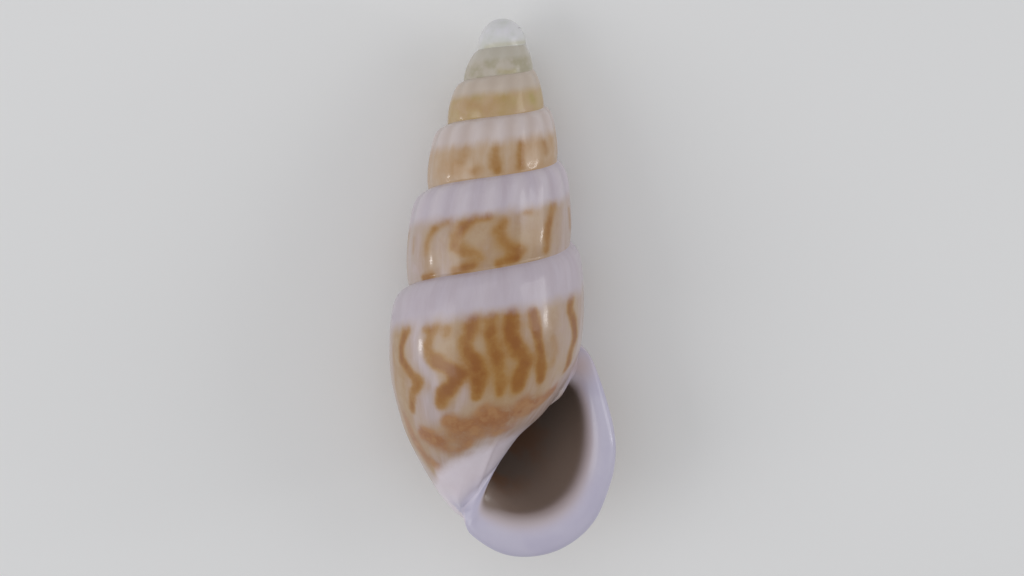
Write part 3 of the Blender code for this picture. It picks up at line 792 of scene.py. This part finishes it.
def shell_material():
    s = Shader("shell_enamel")
    turn, down, deep = s.get("turn"), s.get("down"), s.get("deep")
    streak, glaze, hollow, rib = s.get("streak"), s.get("glaze"), s.get("hollow"), s.get("rib")
    place = s.add("ShaderNodeTexCoord").outputs["Object"]
    age = s.math("MULTIPLY", turn, -1.0)                       # whorls before the lip
    cloud = s.noise(place, 1500.0, 3.0, 0.55)
    blot = s.noise(place, 3800.0, 3.0, 0.6)
    fine = s.noise(place, 9000.0, 3.0, 0.6)
    axial = s.noise(s.vector(s.math("MULTIPLY", turn, 46.0), s.math("MULTIPLY", down, 1.6)), 1.0, 3.0, 0.6)
    ragged = s.math("ADD", s.math("MULTIPLY", s.math("SUBTRACT", blot, 0.5), 1.3),
                    s.math("MULTIPLY", s.math("SUBTRACT", fine, 0.5), 0.35))

    def frayed(mask, low, high, much=1.0):
        """The mask with its edges broken up, from its border at low to full at high."""
        return s.step(s.math("MULTIPLY", mask, s.math("MULTIPLY_ADD", ragged, much, 1.0)), low, high)

    # ground: translucent, greyish pink with faint axial streaks, tan to golden higher up the spire
    ground = s.mix(s.step(axial, 0.32, 0.68), (0.43, 0.30, 0.235), (0.49, 0.385, 0.36))
    ground = s.mix(s.step(blot, 0.40, 0.70), ground, (0.46, 0.35, 0.29))
    tan = s.mix(s.step(cloud, 0.38, 0.62), (0.47, 0.285, 0.135), (0.52, 0.375, 0.25))
    tan = s.mix(s.step(axial, 0.36, 0.74, 0.0, 0.6), tan, (0.45, 0.265, 0.11))
    ground = s.mix(s.math("MULTIPLY", s.step(age, 2.1, 2.6), 0.85), ground, tan)
    golden = s.mix(s.step(cloud, 0.38, 0.62), (0.43, 0.275, 0.105), (0.48, 0.345, 0.17))
    golden = s.mix(s.step(blot, 0.40, 0.66), golden, (0.48, 0.325, 0.18))
    ground = s.mix(s.step(age, 3.1, 3.5), ground, golden)
    oldest = s.mix(s.step(blot, 0.36, 0.66), (0.39, 0.345, 0.24), (0.50, 0.44, 0.365))
    ground = s.mix(s.step(age, 4.1, 4.5), ground, oldest)

    # a golden wash round the streaks, the streaks themselves, and lighter gaps, the first of them partly a painted
    # highlight
    ground = s.mix(s.math("MULTIPLY", frayed(s.get("wash"), 0.05, 0.90, 0.5), 0.82), ground,
                   s.mix(s.step(blot, 0.38, 0.62), (0.385, 0.225, 0.085), (0.425, 0.275, 0.14)))
    colour = s.mix(s.math("MULTIPLY", frayed(s.get("pale"), 0.10, 0.90, 0.5), 0.85), ground,
                   s.mix(s.step(axial, 0.35, 0.65), (0.46, 0.375, 0.37), (0.54, 0.45, 0.48)))
    halo = s.mix(s.step(cloud, 0.40, 0.60), (0.355, 0.162, 0.020), (0.38, 0.195, 0.040))
    brown = s.mix(s.step(cloud, 0.38, 0.62), (0.255, 0.080, 0.003), (0.300, 0.112, 0.005))
    colour = s.mix(s.math("MULTIPLY", frayed(streak, 0.10, 0.68, 0.8), 0.92), colour, halo)
    colour = s.mix(s.math("MULTIPLY", frayed(streak, 0.34, 0.98, 1.0), 0.94), colour, brown)
    red = s.mix(s.step(blot, 0.38, 0.62), (0.31, 0.105, 0.022), (0.39, 0.180, 0.060))
    colour = s.mix(s.math("MULTIPLY", frayed(s.get("rust"), 0.12, 0.86, 1.5), 0.90), colour, red)
    colour = s.mix(s.math("MULTIPLY", s.get("olive"), 0.75), colour, (0.38, 0.30, 0.075))

    # white band below the suture, its rib crests the whitest: partly the ribs' own colour, partly painted highlight on
    # the crests
    limit = s.math("ADD", down, s.math("MULTIPLY", s.math("SUBTRACT", axial, 0.5), 0.13))
    limit = s.math("SUBTRACT", limit, s.step(age, 2.1, 2.7, 0.0, 0.035))
    limit = s.math("ADD", limit, s.math("MULTIPLY", s.math("SUBTRACT", blot, 0.5), 0.07))
    band = s.step(limit, s.step(age, 2.0, 3.0, 0.465, 0.52), s.step(age, 2.0, 3.0, 0.305, 0.25))
    white = s.mix(s.step(axial, 0.30, 0.70), (0.475, 0.405, 0.46), (0.52, 0.455, 0.515))
    white = s.mix(s.math("MULTIPLY", rib, 0.55), white, (0.635, 0.57, 0.615))
    white = s.mix(s.step(age, 2.1, 2.6), white, s.mix(rib, (0.54, 0.445, 0.415), (0.61, 0.525, 0.51)))
    white = s.mix(s.step(age, 3.1, 3.6), white, s.mix(rib, (0.51, 0.42, 0.35), (0.56, 0.47, 0.40)))
    white = s.mix(s.step(age, 4.1, 4.6), white, s.mix(rib, (0.50, 0.455, 0.39), (0.565, 0.53, 0.48)))
    band = s.math("MULTIPLY", band, s.step(age, 4.1, 4.6, 0.94, 0.75))
    colour = s.mix(band, colour, white)

    # cream base, its border lower towards the left
    low = s.math("ADD", down, s.math("MULTIPLY", s.math("SUBTRACT", blot, 0.5), 0.10))
    edge = s.add("ShaderNodeMapRange", {"Value": turn, "From Min": -0.86, "From Max": -0.55, "To Min": 1.36, "To Max": 1.55})
    cream = s.mix(s.step(cloud, 0.3, 0.7), (0.67, 0.575, 0.62), (0.72, 0.64, 0.69))
    colour = s.mix(s.step(s.math("SUBTRACT", low, edge.outputs["Result"]), -0.02, 0.13), colour, cream)

    # the smooth dome of the first whorls: milky white, olive at its foot
    dome = s.mix(s.step(blot, 0.25, 0.75), (0.62, 0.62, 0.59), (0.71, 0.69, 0.72))
    dome = s.mix(s.math("MULTIPLY", s.step(age, 5.9, 5.0), s.step(down, 0.20, 1.0)), dome, (0.52, 0.50, 0.37))
    colour = s.mix(s.step(age, 4.90, 5.06), colour, dome)
    colour = s.mix(s.math("MULTIPLY", s.get("olive"), s.step(age, 4.7, 4.9, 0.0, 0.65)), colour, (0.44, 0.38, 0.16))

    # enamel of the lip and columella, with painted light on the columella ramp, the thin rough callus, and painted
    # shade in the bore
    enamel = s.mix(s.step(cloud, 0.35, 0.65), (0.50, 0.465, 0.585), (0.54, 0.505, 0.615))
    enamel = s.mix(s.math("MULTIPLY", s.step(deep, 0.22, 0.0, 0.0, 0.55), s.get("lip_side")), enamel, (0.455, 0.43, 0.565))
    # painted light: the columella ramp, and the inner side at the tip, made whiter than the enamel round it
    enamel = s.mix(s.get("inner_side"), enamel, (0.82, 0.76, 0.88))
    enamel = s.mix(s.math("MULTIPLY", s.get("top"), 0.85), enamel, (0.50, 0.375, 0.36))
    colour = s.mix(s.math("SUBTRACT", glaze, s.get("parietal")), colour, enamel)
    colour = s.mix(s.math("MULTIPLY", s.get("parietal"), 0.75), colour, (0.53, 0.43, 0.39))
    # darker mottled brown on the parietal wall inside the aperture
    crust = s.mix(s.step(blot, 0.40, 0.62), (0.42, 0.275, 0.165), (0.53, 0.43, 0.38))
    enamel = s.mix(s.math("MULTIPLY", s.get("crust"), 0.85), enamel, crust)
    # painted shade into the bore: greyish pink over the rolled lip, then dark brown, darkest deepest in; the brown is
    # partly the markings showing through the thin wall
    inner = s.mix(s.step(hollow, 0.0, 0.45), enamel, (0.56, 0.48, 0.52))
    inner = s.mix(s.step(hollow, 0.10, 0.95), inner, (0.215, 0.155, 0.125))
    bore_shade_brown = s.mix(s.step(cloud, 0.42, 0.62), (0.165, 0.120, 0.098), (0.185, 0.100, 0.062))
    inner = s.mix(s.step(deep, 0.95, 1.6), inner, bore_shade_brown)
    inner = s.mix(s.step(deep, 2.0, 4.0), inner, (0.10, 0.07, 0.055))
    colour = s.mix(s.step(deep, 0.0, 0.04), colour, inner)
    s.put(s.main.inputs["Base Color"], colour)

    s.put(s.main.inputs["Roughness"], 0.33)
    s.put(s.main.inputs["IOR"], 1.48)
    s.put(s.main.inputs["Coat Weight"], 0.35)
    s.put(s.main.inputs["Coat Roughness"], 0.13)

    lines = s.noise(s.vector(s.math("MULTIPLY", turn, 420.0), s.math("MULTIPLY", down, 2.5)), 1.0, 2.0, 0.6)
    height = s.math("ADD", s.math("MULTIPLY", lines, 0.6), s.math("MULTIPLY", fine, 0.2))
    bump = s.add("ShaderNodeBump", {"Strength": 0.15, "Distance": 0.00001, "Height": height})
    s.put(s.main.inputs["Normal"], bump.outputs[0])
    return s.material


mesh.materials.append(shell_material())
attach(shell, "root")
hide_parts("shell")

# ---------------------------------------------------------------- floor and light

floor_mesh = bpy.data.meshes.new("floor")
side = 0.25
floor_mesh.from_pydata([(-side, -side, 0), (side, -side, 0), (side, side, 0), (-side, side, 0)], [], [(0, 1, 2, 3)])
floor = bpy.data.objects.new("floor", floor_mesh)
bpy.context.scene.collection.objects.link(floor)
f = Shader("floor_paper")
f.put(f.main.inputs["Base Color"], (0.82, 0.815, 0.81))
f.put(f.main.inputs["Roughness"], 0.85)
floor_mesh.materials.append(f.material)


def soft_light(name, place, size, power, colour=(1, 1, 1)):
    data = bpy.data.lights.new(name, "AREA")
    data.shape, data.size, data.size_y = "RECTANGLE", size[0], size[1]
    data.energy, data.color = power, colour
    light = bpy.data.objects.new(name, data)
    bpy.context.scene.collection.objects.link(light)
    light.location = place
    light.visible_camera = False
    light.rotation_euler = (Vector((0, 0, 0.0012)) - Vector(place)).to_track_quat("-Z", "Y").to_euler()
    return light


soft_light("left_small", (-0.070, -0.010, 0.0085), (0.0045, 0.010), 0.0030)
soft_light("right_small", (0.068, 0.003, 0.020), (0.0050, 0.010), 0.0026)
soft_light("left_soft", (-0.065, -0.010, 0.055), (0.050, 0.050), 0.015)
soft_light("right_soft", (0.070, 0.020, 0.040), (0.040, 0.040), 0.010)
soft_light("overhead", (-0.020, 0.060, 0.110), (0.120, 0.120), 0.020)

world_data = bpy.data.worlds.new("studio")
world_data.use_nodes = True
world_data.node_tree.nodes["Background"].inputs["Color"].default_value = (0.95, 0.97, 1.0, 1.0)
world_data.node_tree.nodes["Background"].inputs["Strength"].default_value = 0.50
bpy.context.scene.world = world_data
bpy.context.scene.view_settings.view_transform = "Standard"
